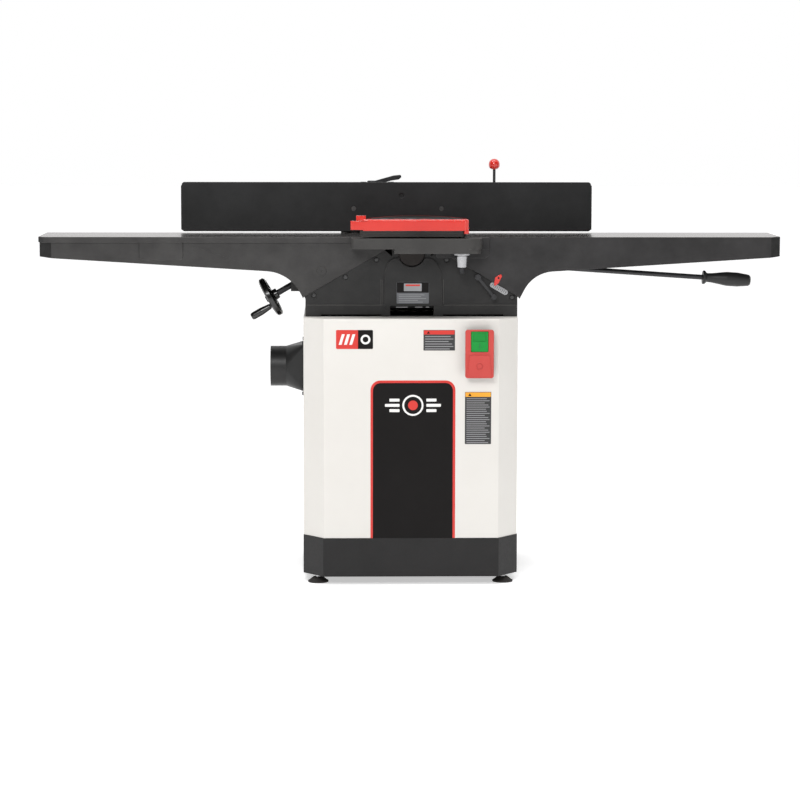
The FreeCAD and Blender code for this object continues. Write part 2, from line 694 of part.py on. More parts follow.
def table(side, label):
    """A hollow table casting: top, aprons and the dovetail that slides on the bed's inclined way."""
    body = new_body(label)
    outfeed = side < 0
    end = size("outfeed_end") if outfeed else size("infeed_end")
    step = size("lip_step") if outfeed else 0.0
    front_y, back_y = -width + step, -step
    bend, edge_z = (100.0, 807.4) if outfeed else (85.0, 809.0)
    skirt, brow, lip = 268, 68, size("lip_reach")
    outline = [(along(side, lip), top), (along(side, end), top), (along(side, end), edge_z),
               (along(side, 301.5), 770, bend), (along(side, skirt), 705),
               (along(side, skirt), way_height(skirt) + gap), (along(side, brow), way_height(brow) + gap),
               (along(side, 44), 846), (along(side, lip), 853)]
    pad(body, "XZ", front_y, back_y, outline)
    if outfeed:
        pad(body, "XZ", -width, 0, rectangle(along(side, end), along(side, 40), top - size("lip_depth"), top))
    inner = size("apron_wall")
    cut_x, cut_y = (33, 42) if outfeed else (27, 30)
    # the cavity stops short behind the cut corner, so its wall stays closed
    for reach, low, high in ((end - cut_x - inner, front_y + inner, front_y + cut_y + inner + 1),
                             (end - 16, front_y + cut_y + inner, back_y - inner)):
        pocket(body, "XZ", low, high, [(along(side, 104), top - size("top_plate")),
                                       (along(side, reach), top - size("top_plate")),
                                       (along(side, reach), 730), (along(side, 292), 730)])
    for reach in (440, 590, 740):
        x = along(side, reach)
        pad(body, "YZ", x, x + 9, rectangle(front_y + 5, back_y - 5, 802, top - 10))
    tongue = dovetail(size("tongue_half"), size("tongue_depth"), 0.0, 3.0)
    way_feature(body, "Pad", side, 76, 221, tongue)
    doc.recompute()
    # the corners of the outer end are cut off in plan
    tip = along(side, end)
    lean = -side
    pocket(body, "XY", 700, top - (size("lip_depth") if outfeed else -1),
           [(tip + lean * cut_x, front_y - 1), (tip - lean, front_y - 1), (tip - lean, front_y + cut_y),
            (tip, front_y + cut_y), (tip + lean * cut_x, front_y)])
    if outfeed:
        pocket(body, "XY", 700, top + 1, [(tip + lean * 14, -width - 1), (tip - lean, -width - 1),
                                          (tip - lean, -width + 22), (tip, -width + 22),
                                          (tip + lean * 14, -width)])
        pad(body, "XZ", front_y - 2, front_y + 1, rectangle(-671, -563, 801, 850, 10))
        pad(body, "XZ", front_y - 1, front_y + 1, ring(-221, 773.6, 12))
        pocket(body, "XZ", front_y - 2, front_y + 1, ring(-221, 773.6, 1.5))
        pad(body, "YZ", along(side, 300), along(side, 262), rectangle(-138, -92, 706 + 12, 812))
        way_feature(body, "Pocket", side, 208, 170, ring(way_centre, size("screw_rise"), 8.1))
    else:
        pad(body, "XZ", -width - 3, -width + 1, [(62, 806.6, 6), (195, 806.6, 14), (195, 857, 3), (62, 857, 3)])
        pocket(body, "XZ", -width - 4, -width + inner + 1, *[ring(x, ARM_BOLT_Z, 4.0) for x in ARM_BOLT_X])
        for y in (-200, -142):
            pad(body, "XZ", y, y + 9, [(286, 840), (324, 840), (318, 776, 8), (292, 776, 8)])
        pocket(body, "XZ", -201, -132, ring(size("lever_x"), size("lever_z"), 4.95))
    return body


def rabbet_arm():
    body = new_body("rabbet_arm")
    face = -size("arm_front")
    rear = -width - 3
    pad(body, "XY", 832.2, top, [(-148, face + 8, 9), (0, face), (174, face, 33), (174, rear), (62, rear),
                                 (62, rear + 1.4), (-148, rear + 1.4, 6)])
    pad(body, "XY", 821.2, 834, [(-43, face + 2.3), (0, face), (171, face, 33), (171, rear), (-43, rear)])
    x, y = size("pivot_x"), -size("pivot_y")
    pocket(body, "XY", 815, top + 1, ring(x, y, 8.15))
    pocket(body, "XZ", -251, rear + 1, *[ring(bolt_x, ARM_BOLT_Z, 4.0) for bolt_x in ARM_BOLT_X])
    inner_face = -width + size("apron_wall")
    spots = [(bolt_x, inner_face, ARM_BOLT_Z) for bolt_x in ARM_BOLT_X]
    cluster("arm_bolts", spots, [("Cylinder", 7, 6.2, 0), ("Cylinder", 32, 3.9, -32)], TO_REAR)


def guard():
    x, y = size("pivot_x"), -size("pivot_y")
    barrel = new_body("guard_spring_barrel")
    turned(barrel, [(8.15, 785.8), (12, 785.8), (13, 787), (15, 813, 1), (24, 816.5), (24, 821.2),
                    (8.15, 821.2)])
    place(barrel, x, y, 0)
    post = new_body("guard_post")
    turned(post, [(0, 770), (6, 770), (7, 771), (7, 785), (8, 785), (8, 861.5), (6, 861.5), (6, 888, 1),
                  (0, 888)])
    pocket(post, "XY", 769, 774, rectangle(-1, 1, -9, 9))
    place(post, x, y, 0)
    skirt = new_body("guard_skirt")
    pad(skirt, "XY", 862.3, 877, [(-128, -296, 6), (127.5, -296, 4), (127.5, -283), (133, -283), (133, -236, 6),
                                 (-118, -236, 8)])
    for low in (866.6, 871.6):
        pocket(skirt, "XY", low, low + 1.2, [(-129, -297), (129, -297), (129, -294.6), (-129, -294.6)])
    pocket(skirt, "XY", 862, 878, ring(x, y, 6.15))
    low, high = size("guard_low"), size("guard_high")
    shell = new_body("guard_shell")
    plan = [(-119, -299, 3), (141, -299, 13), (140, -236, 14), (98, -140, 56), (34, -69, 16), (-14, -69, 18),
            (-62, -128, 60), (-119, -246, 20)]
    pad(shell, "XY", low, high, plan)
    round_edges(shell, 4.5, lambda edge: edge.BoundBox.ZMin > number(high) - 0.01)
    inner = [(-115, -295, 3), (136, -295, 9), (135, -237, 10), (95, -143, 52), (32, -73, 12), (-12, -73, 14),
             (-59, -130, 56), (-115, -246, 16)]
    pocket(shell, "XY", low, high - 4, inner)
    pad(shell, "XY", 879.5, 901, [(-149.6, -299, 5), (-110, -299), (-110, -262), (-149.6, -262, 8)])
    pad(shell, "XY", 899, 914, [(-136, -297, 2), (-112, -297, 2), (-112, -268, 3), (-136, -268, 3)])
    pad(shell, "XY", 869.6, 879, [(128.2, -298, 4), (140.6, -298, 4), (140.6, -284, 4), (128.2, -284, 4)])
    pad(shell, "XY", low, high - 2, ring(x, y, 13))
    pocket(shell, "XY", low - 1, high - 7, ring(x, y, 6.15))
    spots = [(px, py, low + 4.5) for px, py in ((-95, -282), (20, -282))]
    pad(shell, "XY", low, high - 2, *[ring(px, py, 5.5) for px, py, _ in spots])
    pocket(shell, "XY", low - 1, low + 10, *[ring(px, py, 1.9) for px, py, _ in spots])
    cluster("guard_screws", [(px, py, low) for px, py, _ in spots],
            [("Cylinder", 8, 1.9, -8), ("Cylinder", 9, 1.9, 0)])
    pocket(skirt, "XY", 862, 878, *[ring(px, py, 1.9) for px, py, _ in spots])


# ---------------------------------------------------------------- fence

def fence_axis():
    return -size("fence_face") + size("tilt_back"), top + size("tilt_rise")


def fence():
    body = new_body("fence_plate")
    face, low = -size("fence_face"), top + size("fence_gap")
    back = face + size("fence_plate")
    high = low + size("fence_height")
    left, right = -size("fence_left"), size("fence_right")
    pad(body, "XZ", face, back, rectangle(left, right, low, high, 7))
    pad(body, "XZ", back - 2, back + 11, rectangle(left - 2.5, left + 9, low + 3, high - 8, 3),
        rectangle(right - 9, right + 3, low + 3, high - 8, 3))
    pad(body, "XZ", back - 2, back + 7, rectangle(left + 4, right - 4, low + 44, low + 54, 3))
    axis_y, axis_z = fence_axis()
    for x in (-size("ear_left"), size("ear_right")):
        pocket(body, "XZ", face + 3, back + 1, rectangle(x - 19, x + 19, low - 1, low + 22))
        ear = 6.5
        pad(body, "YZ", x - 9, x + 9, [(face + 2, axis_z - ear), (axis_y, axis_z - ear),
                                       (axis_y + ear, axis_z - ear, 6.4), (axis_y + ear, axis_z + ear, 6.4),
                                       (axis_y, axis_z + ear), (face + 2, axis_z + ear)])
        pocket(body, "YZ", x - 10, x + 10, ring(axis_y, axis_z, 3.55))
    pad(body, "XZ", back - 2, back + 14, ring(218, high - 16, 9))
    pocket(body, "XY", high - 30, high + 2, ring(218, back + 5, 3.6))
    for x in (-size("ear_left"), size("ear_right")):
        pocket(body, "XZ", face - 1, face + 1.2, ring(x, low + 58, 6.0))
    pocket(body, "XZ", face - 1, face + 5, ring(-18, low + 91, 6.5))
    spots = [(x, face + 1.2, low + 58) for x in (-size("ear_left"), size("ear_right"))]
    cluster("fence_face_screws", spots, [("Cylinder", 0.9, 5.6, 0)], TO_OPERATOR)
    rod = new_body("tilt_rod")
    turned(rod, [(0, 0), (3.5, 0), (3.5, 68), (0, 68)])
    place(rod, 218, back + 5, high - 22)
    ball = new_body("tilt_knob")
    radius, neck = 14.0, 3.55
    sole = radius - 0.4
    turned(ball, [(neck, -sole), (radius, -sole, 10.4), (radius, sole, 13.5), (0, sole), (0, 1), (neck, 1)])
    place(ball, 218, back + 5, high + 45.6)


def carriage():
    axis_y, axis_z = fence_axis()
    body = new_body("fence_carriage")
    pad(body, "XY", 866.4, 880, [(-172, 42, 8), (125, 42, 8), (125, 262, 14), (-172, 262, 14)])
    for x in (-size("ear_left"), size("ear_right")):
        for low, high in ((-18, -9.4), (9.4, 18)):
            pad(body, "YZ", x + low, x + high,
                [(axis_y - 6.4, axis_z - 6.4, 6.3), (axis_y, axis_z - 6.4), (60, axis_z - 6.4), (60, 876),
                 (axis_y + 2, axis_z + 1.6), (axis_y + 1, axis_z + 4.9), (axis_y - 6.4, axis_z + 4.9, 4)])
        pocket(body, "YZ", x - 19, x + 19, ring(axis_y, axis_z, 3.5))
    crown = 973.0
    lock_x, lock_y = -92, 120
    bolt_spots = [(x, lock_y, crown) for x in (-114, -42)]
    pad(body, "XY", 878, crown, [(-126, 98, 8), (-28, 98, 8), (-28, 142, 8), (-126, 142, 8)])
    pocket(body, "XY", 865, crown - 7, rectangle(-119, -35, 105, 135, 5))
    pocket(body, "XY", crown - 12, crown + 1, ring(lock_x, lock_y, 8.1),
           *[ring(x, y, 4.0) for x, y, _ in bolt_spots])
    cluster("carriage_bolts", bolt_spots, [("Prism", 11, 7.5, 0), ("Cylinder", 12, 3.9, -11.9)])
    pins = [(x - 17.5, axis_y, axis_z) for x in (-size("ear_left"), size("ear_right"))]
    cluster("fence_hinge_pins", pins, [("Cylinder", 35, 3.5, 0)], TO_RIGHT)
    lever = new_body("carriage_lock_lever")
    turned(lever, [(0, -34), (8, -34), (8, 0.5), (12, 0.5), (12, 14, 3), (0, 14)])
    doc.recompute()
    pad(lever, "XZ", -7, 7, [(0, 3), (12, 3), (50, 14, 8), (70, 17, 3), (78, 24, 4), (74, 29, 4), (56, 27, 14),
                             (6, 13)])
    place(lever, lock_x, lock_y, crown)


def fence_support():
    body = new_body("fence_support")
    pad(body, "XY", 853, 866.1, [(-172, 8, 6), (125, 8, 6), (125, 326, 14), (-172, 326, 14)])
    for low, high in ((-172, -138), (91, 125)):
        pad(body, "XY", 698, 855, rectangle(low, high, 30, 56, 4))
        pad(body, "YZ", low + 11, high - 11, [(50, 740), (54, 740), (200, 852), (200, 856), (50, 856)])
    spots = [(x, 56, z) for x in (-155, 108) for z in (710, 730)]
    return cluster("_support_bolts", spots, [("Prism", 6, 8.0, 0)], TO_REAR)


# ---------------------------------------------------------------- handles

def screw_point(rise, reach):
    """A point on the outfeed screw's axis, which runs above the way and parallel to it."""
    offset = rise / WAY_COS
    return along(-1, reach), way_height(reach) + offset


def handwheel():
    slope = turn_about((0, 1, 0), -90 - WAY_ANGLE)
    x, z = screw_point(size("screw_rise"), size("wheel_reach"))
    screw = new_body("adjusting_screw")
    turned(screw, [(0, -140), (7.5, -140, 1), (7.5, -14), (8, -14), (8, 12), (0, 12)])
    wheel = new_body("handwheel")
    radius = size("wheel_radius")
    turned(wheel, [(8, -22), (13, -22, 2), (14, -12), (20, -10), (24, -6, 2), (radius - 11, -6),
                   (radius - 11, -8, 1), (radius - 5, -10, 3), (radius, -6, 3), (radius, 4, 3),
                   (radius - 6, 8, 3), (radius - 12, 5, 1), (radius - 13, 1), (20, 1), (15, 6, 1), (8, 6)])
    handle = new_body("crank_handle")
    turned(handle, [(0, 8.4), (6, 8.4), (7, 12, 3), (9.5, 34, 20), (9.5, 58, 10), (8, 64, 3), (0, 64)])
    for thing in (screw, wheel):
        place(thing, x, way_centre, z, slope)
    # the crank handle stands on the rim's operator side, a little below the wheel's middle
    drop, ahead = 18.0, 33.5
    place(handle, x + drop * WAY_SIN, way_centre - ahead, z - drop * WAY_COS, slope)


def infeed_lever():
    tilt = turn_about((0, 1, 0), 90 + number(size("lever_tilt")))
    x, y, z = size("lever_x"), -size("lever_y"), size("lever_z")
    hub = new_body("lever_hub")
    pad(hub, "XZ", -188, -146, ring(x, z, 13))
    pocket(hub, "XZ", -189, -145, ring(x, z, 5.0))
    shaft = new_body("lever_shaft")
    turned(shaft, [(0, 0), (4.95, 0, 0.5), (4.95, 68, 0.5), (0, 68)])
    place(shaft, x, -200.5, z, TO_REAR)
    rod = new_body("lever_rod")
    turned(rod, [(0, 13), (6.2, 13), (6.2, 470, 1), (0, 470)])
    grip = new_body("lever_grip")
    turned(grip, [(6.2, 428), (17, 428, 1.5), (17, 433, 1.5), (11, 439, 3), (12, 452, 6), (17.5, 488, 14),
                  (17.5, 516, 10), (14, 544, 1.5), (10, 548, 1.5), (0, 548), (0, 470), (6.2, 470)])
    for thing in (rod, grip):
        place(thing, x, y, z, tilt)


def lock_handle():
    body = new_body("infeed_lock_handle")
    pad(body, "XZ", -233, -221.3, ring(0, 0, 6.5))
    pad(body, "XZ", -242, -232, ring(0, 0, 7.5))
    pad(body, "XZ", -240, -234, rectangle(0, 60, -3.4, 3.4))
    pad(body, "XZ", -242, -233, ring(63, 0, 6.5))
    place(body, 166, 0, 759.5, turn_about((0, 1, 0), 51))


def scale_and_pointer():
    scale = new_body("depth_scale")
    pad(scale, "XZ", -222.6, -221, rectangle(-24.5, 24.5, -6.5, 6.5, 6))
    place(scale, 218.8, 0, 730.2, turn_about((0, 1, 0), WAY_ANGLE))
    pointer = new_body("depth_pointer")
    pad(pointer, "XZ", -231, -229, [(209, 759), (223, 767, 1), (226, 762, 2), (217, 744, 2), (208, 737, 1),
                                    (206, 742)])
    pocket(pointer, "XZ", -232, -228, ring(217.5, 757, 2.6))


def nameplate():
    body = new_body("nameplate")
    pad(body, "XZ", -226.5, -225.5, rectangle(-35, 45, 693.5, 747, 2))


# ---------------------------------------------------------------- switch

def switch():
    low_x, high_x, low_z, high_z = 133.5, 199.5, 519, 634.5
    box = new_body("switch_box")
    pad(box, "XZ", front - 16, front, rectangle(low_x, high_x, low_z + 2, high_z, 5))
    pocket(box, "XZ", front - 17, front - 6, rectangle(143.4, 190, 579.6, 633, 3))
    pocket(box, "XZ", front - 17, front - 12, rectangle(148, 188, 530, 572, 3))
    start = new_body("start_button")
    pad(start, "XZ", front - 27, front - 10, rectangle(146, 187.2, 582.3, 631.5, 2))
    pocket(start, "XZ", front - 28, front - 24.5, rectangle(150, 183, 607, 628, 1.5))
    paddle = new_body("stop_paddle")
    pad(paddle, "XZ", front - 28, front - 20.5, rectangle(131.5, 201.5, 517, 636.3, 6))
    round_edges(paddle, 2.0, lambda edge: edge.BoundBox.YMax < number(front) - 27.9)
    pad(paddle, "XZ", front - 32, front - 27, [(137, 521, 5), (196, 521, 5), (191, 573, 3), (142, 573, 3)])
    pocket(paddle, "XZ", front - 33, front - 20, rectangle(145, 188.2, 581.3, 632.5, 2.5))
    pocket(paddle, "XZ", front - 33, front - 31, ring(166.5, 547, 8.5))
    pad(paddle, "XZ", front - 32, front - 30, ring(166.5, 547, 7.2))
    # the paddle hangs on a round pin that turns in a groove of the box's upper bar
    pin_y, pin_z = front - 20, 634.5
    pad(box, "YZ", 140, 193, rectangle(front - 20.2, front - 15.9, 632.8, 636, 0.8))
    pocket(box, "YZ", 149, 184, ring(pin_y, pin_z, 1.5))
    pad(paddle, "YZ", 150, 183, ring(pin_y, pin_z, 1.4))


def cord_gland():
    body = new_body("cord_gland")
    turned(body, [(5.0, -6), (7.8, -6), (7.8, 0), (12, 0), (12, 6), (10, 8), (10, 16, 2), (5.0, 16)])
    place(body, 210, size("stand_rear"), 180, TO_REAR)


# ---------------------------------------------------------------- build, check and write

cabinet()
cabinet_base()
feet()
gather("stand_screws", access_panel() + dust_port())
chip_chute()
motor_bolts = motor()
pulley("cutterhead_pulley", size("small_pulley"), head_z)
pulley("motor_pulley", size("big_pulley"), size("motor_z"))
drive_belt()
belt_guard()
bed()
gib_screws()
gibs()
bearing_housings()
cutterhead()
table(-1, "outfeed_table")
table(1, "infeed_table")
rabbet_arm()
guard()
fence()
carriage()
gather("hex_bolts", motor_bolts + bed_bolts() + fence_support())
handwheel()
infeed_lever()
lock_handle()
scale_and_pointer()
nameplate()
switch()
cord_gland()
doc.recompute()

broken = [thing.Name for thing in doc.Objects if "Invalid" in thing.State or "Error" in thing.State]
broken += [part.Label for part in PARTS if part.Shape.isNull() or not part.Shape.isValid()]
if broken:
    raise RuntimeError("failed objects: " + ", ".join(broken))

os.makedirs("parts", exist_ok=True)
for part in PARTS:
    part.Shape.exportStep("parts/%s.step" % part.Label)
whole = FreeCAD.BoundBox()
for part in PARTS:
    whole.add(part.Shape.BoundBox)
print("%d parts, box %s" % (len(PARTS), whole))
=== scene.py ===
import json
import math

import bmesh
import bpy
from mathutils import Matrix, Vector


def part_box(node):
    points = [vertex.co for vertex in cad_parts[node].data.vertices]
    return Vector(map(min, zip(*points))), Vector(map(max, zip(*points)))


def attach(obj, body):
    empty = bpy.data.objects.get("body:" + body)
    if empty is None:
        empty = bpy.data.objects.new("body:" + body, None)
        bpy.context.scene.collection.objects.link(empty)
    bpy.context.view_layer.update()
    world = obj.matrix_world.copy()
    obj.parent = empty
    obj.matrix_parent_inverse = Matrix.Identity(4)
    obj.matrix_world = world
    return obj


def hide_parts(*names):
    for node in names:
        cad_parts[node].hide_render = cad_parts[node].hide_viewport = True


# Looks for an eight-inch jointer. Lengths in millimetres become metres through MM.
MM = 0.001
# edges that turn by more than this are sharp, in radians
SHARP = 0.56
# CAD corners closer together than this are one corner
WELD = 0.004 * MM
# printed pieces stand this far off their face, and one printed over another stands on it
PRINT = 0.3 * MM
# the part of a printed piece's thickness that its edges are eased by
PRINT_EASE = 0.3
# thinner prints
THICK_INK = 0.2 * MM
INK = 0.15 * MM
THIN_INK = 0.1 * MM
# points on a full circle, and steps in a quarter of one
ROUND = 40
QUARTER = 8

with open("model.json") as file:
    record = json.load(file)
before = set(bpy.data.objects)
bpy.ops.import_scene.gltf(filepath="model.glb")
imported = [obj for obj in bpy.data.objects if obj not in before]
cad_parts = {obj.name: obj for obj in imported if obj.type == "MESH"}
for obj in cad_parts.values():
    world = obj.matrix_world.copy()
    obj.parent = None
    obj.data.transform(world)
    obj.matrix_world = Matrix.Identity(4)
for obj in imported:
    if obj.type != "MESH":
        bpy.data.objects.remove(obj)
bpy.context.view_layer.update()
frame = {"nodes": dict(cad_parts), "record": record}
bodies = {node: body for body, nodes in frame["record"]["behaviour"]["bodies"].items() for node in nodes}
slots = {part["node"]: part["material_slot"] for part in frame["record"]["subparts"]}


# ---------------------------------------------------------------- finishes

class Graph:
    """A short way to add and join shader nodes."""

    def __init__(self, tree):
        self.tree = tree

    def add(self, kind, values=None, **settings):
        node = self.tree.nodes.new(kind)
        for key, value in settings.items():
            setattr(node, key, value)
        for socket, value in (values or {}).items():
            node.inputs[socket].default_value = value
        return node

    def join(self, start, end):
        self.tree.links.new(start, end)


# how squarely a face has to look up to be ground, or sideways to be an end face that is painted darker as
# painted shade
FACES_UP = 0.8
FACES_SIDEWAYS = 0.6


def rgba(colour):
    return (colour[0], colour[1], colour[2], 1.0)


def noise(graph, coordinates, scale, detail, stretch=(1, 1, 1)):
    """A cloudy pattern in the object's own coordinates, which can be stretched along an axis."""
    mapping = graph.add("ShaderNodeMapping", {"Scale": stretch})
    graph.join(coordinates.outputs["Object"], mapping.inputs["Vector"])
    pattern = graph.add("ShaderNodeTexNoise", {"Scale": scale, "Detail": detail, "Roughness": 0.6})
    graph.join(mapping.outputs["Vector"], pattern.inputs["Vector"])
    return pattern.outputs["Fac"]


def painted_edge_highlight(graph, colour, highlight_colour):
    """Painted highlight: the colour turns towards a lighter one along convex and concave edges."""
    surface = graph.add("ShaderNodeNewGeometry")
    eased = graph.add("ShaderNodeBevel", {"Radius": 1.6 * MM}, samples=6)
    agree = graph.add("ShaderNodeVectorMath", operation="DOT_PRODUCT")
    graph.join(eased.outputs["Normal"], agree.inputs[0])
    graph.join(surface.outputs["True Normal"], agree.inputs[1])
    amount = graph.add("ShaderNodeMapRange", {"From Min": 0.99, "From Max": 0.85,
                                              "To Min": 0.0, "To Max": 0.75})
    graph.join(agree.outputs["Value"], amount.inputs["Value"])
    mixed = graph.add("ShaderNodeMix", {7: rgba(highlight_colour)}, data_type="RGBA")
    graph.join(amount.outputs["Result"], mixed.inputs[0])
    graph.join(colour, mixed.inputs[6])
    return mixed.outputs[2]


def coat_of(graph, coordinates, look):
    """One principled surface with its own colour drift, gloss drift and relief."""
    shader = graph.add("ShaderNodeBsdfPrincipled", {
        "Metallic": look.get("metal", 0.0), "Specular IOR Level": look.get("specular", 0.5),
        "Coat Weight": look.get("coat", 0.0), "Coat Roughness": 0.08})
    stretch = look.get("stretch", (1, 1, 1))
    broad = noise(graph, coordinates, look.get("drift_scale", 7.0), 5.0, stretch)
    ramp = graph.add("ShaderNodeValToRGB")
    ramp.color_ramp.elements[0].position = 0.32
    ramp.color_ramp.elements[0].color = rgba(look["dark"])
    ramp.color_ramp.elements[1].position = 0.68
    ramp.color_ramp.elements[1].color = rgba(look["light"])
    graph.join(broad, ramp.inputs["Fac"])
    colour = ramp.outputs["Color"]
    # a painted highlight along the edges, where the look gives an edge colour
    if "edge" in look:
        colour = painted_edge_highlight(graph, colour, look["edge"])
    graph.join(colour, shader.inputs["Base Color"])
    fine = noise(graph, coordinates, look.get("fine_scale", 160.0), 4.0, stretch)
    gloss = graph.add("ShaderNodeMapRange", {"From Min": 0.3, "From Max": 0.7,
                                             "To Min": look["rough"][0], "To Max": look["rough"][1]})
    graph.join(fine, gloss.inputs["Value"])
    graph.join(gloss.outputs["Result"], shader.inputs["Roughness"])
    relief = noise(graph, coordinates, look.get("relief_scale", 420.0), 3.0, stretch)
    bump = graph.add("ShaderNodeBump", {"Strength": look.get("relief", 0.1), "Distance": 0.4 * MM})
    graph.join(relief, bump.inputs["Height"])
    graph.join(bump.outputs["Normal"], shader.inputs["Normal"])
    return shader


def finish_of(name, look, machined=None, machined_above=0.0, shaded_end_look=None):
    """A material. Given more looks, faces that look up above a height are ground and end faces are painted
    darker as painted shade.
    """
    material = bpy.data.materials.new(name)
    material.use_nodes = True
    tree = material.node_tree
    tree.nodes.clear()
    graph = Graph(tree)
    coordinates = graph.add("ShaderNodeTexCoord")
    output = graph.add("ShaderNodeOutputMaterial")
    shader = coat_of(graph, coordinates, look)
    if not machined:
        graph.join(shader.outputs["BSDF"], output.inputs["Surface"])
        return material
    ground = coat_of(graph, coordinates, machined)
    # painted shade on the faces that look sideways
    end_painted_shade = coat_of(graph, coordinates, shaded_end_look)
    facing = graph.add("ShaderNodeSeparateXYZ")
    graph.join(coordinates.outputs["Normal"], facing.inputs["Vector"])
    sideways = graph.add("ShaderNodeMath", operation="ABSOLUTE")
    graph.join(facing.outputs["X"], sideways.inputs[0])
    at_end = graph.add("ShaderNodeMath", {1: FACES_SIDEWAYS}, operation="GREATER_THAN")
    graph.join(sideways.outputs[0], at_end.inputs[0])
    painted = graph.add("ShaderNodeMixShader")
    graph.join(at_end.outputs[0], painted.inputs["Fac"])
    graph.join(shader.outputs["BSDF"], painted.inputs[1])
    graph.join(end_painted_shade.outputs["BSDF"], painted.inputs[2])
    place = graph.add("ShaderNodeSeparateXYZ")
    graph.join(coordinates.outputs["Object"], place.inputs["Vector"])
    upward = graph.add("ShaderNodeMath", {1: FACES_UP}, operation="GREATER_THAN")
    graph.join(facing.outputs["Z"], upward.inputs[0])
    high = graph.add("ShaderNodeMath", {1: machined_above}, operation="GREATER_THAN")
    graph.join(place.outputs["Z"], high.inputs[0])
    both = graph.add("ShaderNodeMath", operation="MULTIPLY")
    graph.join(upward.outputs[0], both.inputs[0])
    graph.join(high.outputs[0], both.inputs[1])
    blend = graph.add("ShaderNodeMixShader")
    graph.join(both.outputs[0], blend.inputs["Fac"])
    graph.join(painted.outputs["Shader"], blend.inputs[1])
    graph.join(ground.outputs["BSDF"], blend.inputs[2])
    graph.join(blend.outputs["Shader"], output.inputs["Surface"])
    return material


LOOKS = {
    "cream_paint": dict(dark=(0.705, 0.682, 0.645), light=(0.755, 0.733, 0.697), rough=(0.38, 0.48),
                        relief=0.12, relief_scale=600, drift_scale=2.5, specular=0.35),
    "black_paint": dict(dark=(0.013, 0.0125, 0.0127), light=(0.018, 0.017, 0.0172), rough=(0.42, 0.55),
                        relief=0.15, relief_scale=600, specular=0.28),
    # the casting's edge colour is a painted highlight along its edges
    "casting": dict(dark=(0.008, 0.0077, 0.0076), light=(0.0185, 0.0178, 0.0174), rough=(0.36, 0.56),
                    relief=0.45, relief_scale=220, fine_scale=60, drift_scale=14, specular=0.36,
                    edge=(0.07, 0.067, 0.064)),
    "ground_iron": dict(dark=(0.22, 0.204, 0.198), light=(0.28, 0.26, 0.252), rough=(0.2, 0.3),
                        relief=0.003, metal=1.0, stretch=(0.15, 1, 1), relief_scale=300,
                        fine_scale=200),
    "steel": dict(dark=(0.45, 0.45, 0.46), light=(0.62, 0.62, 0.63), rough=(0.22, 0.38), relief=0.08,
                  metal=1.0, fine_scale=500),
    "dark_steel": dict(dark=(0.028, 0.028, 0.03), light=(0.05, 0.05, 0.052), rough=(0.3, 0.45),
                       relief=0.1, metal=0.6, specular=0.4),
    "bright": dict(dark=(0.38, 0.38, 0.39), light=(0.50, 0.50, 0.51), rough=(0.16, 0.3), relief=0.06,
                   metal=1.0, fine_scale=400),
    "red_plastic": dict(dark=(0.58, 0.018, 0.010), light=(0.65, 0.024, 0.013), rough=(0.14, 0.2),
                        relief=0.03, coat=0.8, specular=0.5),
    "switch_red": dict(dark=(0.50, 0.045, 0.036), light=(0.56, 0.055, 0.045), rough=(0.35, 0.48),
                       relief=0.06),
    "green_plastic": dict(dark=(0.002, 0.235, 0.028), light=(0.003, 0.28, 0.036), rough=(0.3, 0.42),
                          relief=0.06, specular=0.35),
    "black_plastic": dict(dark=(0.012, 0.012, 0.012), light=(0.02, 0.02, 0.02), rough=(0.34, 0.48),
                          relief=0.12, relief_scale=700, specular=0.35),
    "black_rubber": dict(dark=(0.03, 0.027, 0.026), light=(0.045, 0.041, 0.039), rough=(0.6, 0.78),
                         relief=0.2, relief_scale=500, specular=0.25),
    "aluminium": dict(dark=(0.55, 0.55, 0.57), light=(0.7, 0.7, 0.72), rough=(0.3, 0.45), relief=0.1,
                      metal=1.0),
    "label_plate": dict(dark=(0.10, 0.105, 0.115), light=(0.135, 0.14, 0.15), rough=(0.35, 0.5),
                        relief=0.04),
    "bearing_steel": dict(dark=(0.012, 0.009, 0.008), light=(0.022, 0.017, 0.015), rough=(0.45, 0.62),
                          relief=0.2, specular=0.3),
}
table_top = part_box("infeed_table")[1].z
materials = {slot: finish_of(slot, look) for slot, look in LOOKS.items()}
apron = dict(LOOKS["casting"], dark=(0.022, 0.0208, 0.0204), light=(0.042, 0.0402, 0.0392))
# painted shade: the tables' end faces are painted near black, with a faint painted highlight along their edges
shaded_table_end = dict(LOOKS["casting"], dark=(0.005, 0.0047, 0.0045), light=(0.008, 0.0075, 0.0072), specular=0.15,
                 edge=(0.02, 0.019, 0.018))
ground_height = table_top - 0.7 * MM
materials["table"] = finish_of("table_casting", apron, LOOKS["ground_iron"], ground_height, shaded_table_end)
# painted shade: the infeed table's sides get a darker copy of the outfeed table's casting colour
shaded_apron = dict(apron, dark=(0.0125, 0.0117, 0.012), light=(0.027, 0.0255, 0.026))
materials["shaded_table"] = finish_of("shaded_table_casting", shaded_apron, LOOKS["ground_iron"], ground_height,
                                    shaded_table_end)
arm_look = dict(apron, dark=(0.032, 0.0305, 0.029), light=(0.043, 0.041, 0.039))
materials["arm"] = finish_of("arm_casting", arm_look)
materials["fence"] = finish_of("fence_casting", dict(LOOKS["casting"], dark=(0.0075, 0.0076, 0.008),
                                                     light=(0.015, 0.0152, 0.0158), relief=0.2, specular=0.25,
                                                     drift_scale=9))
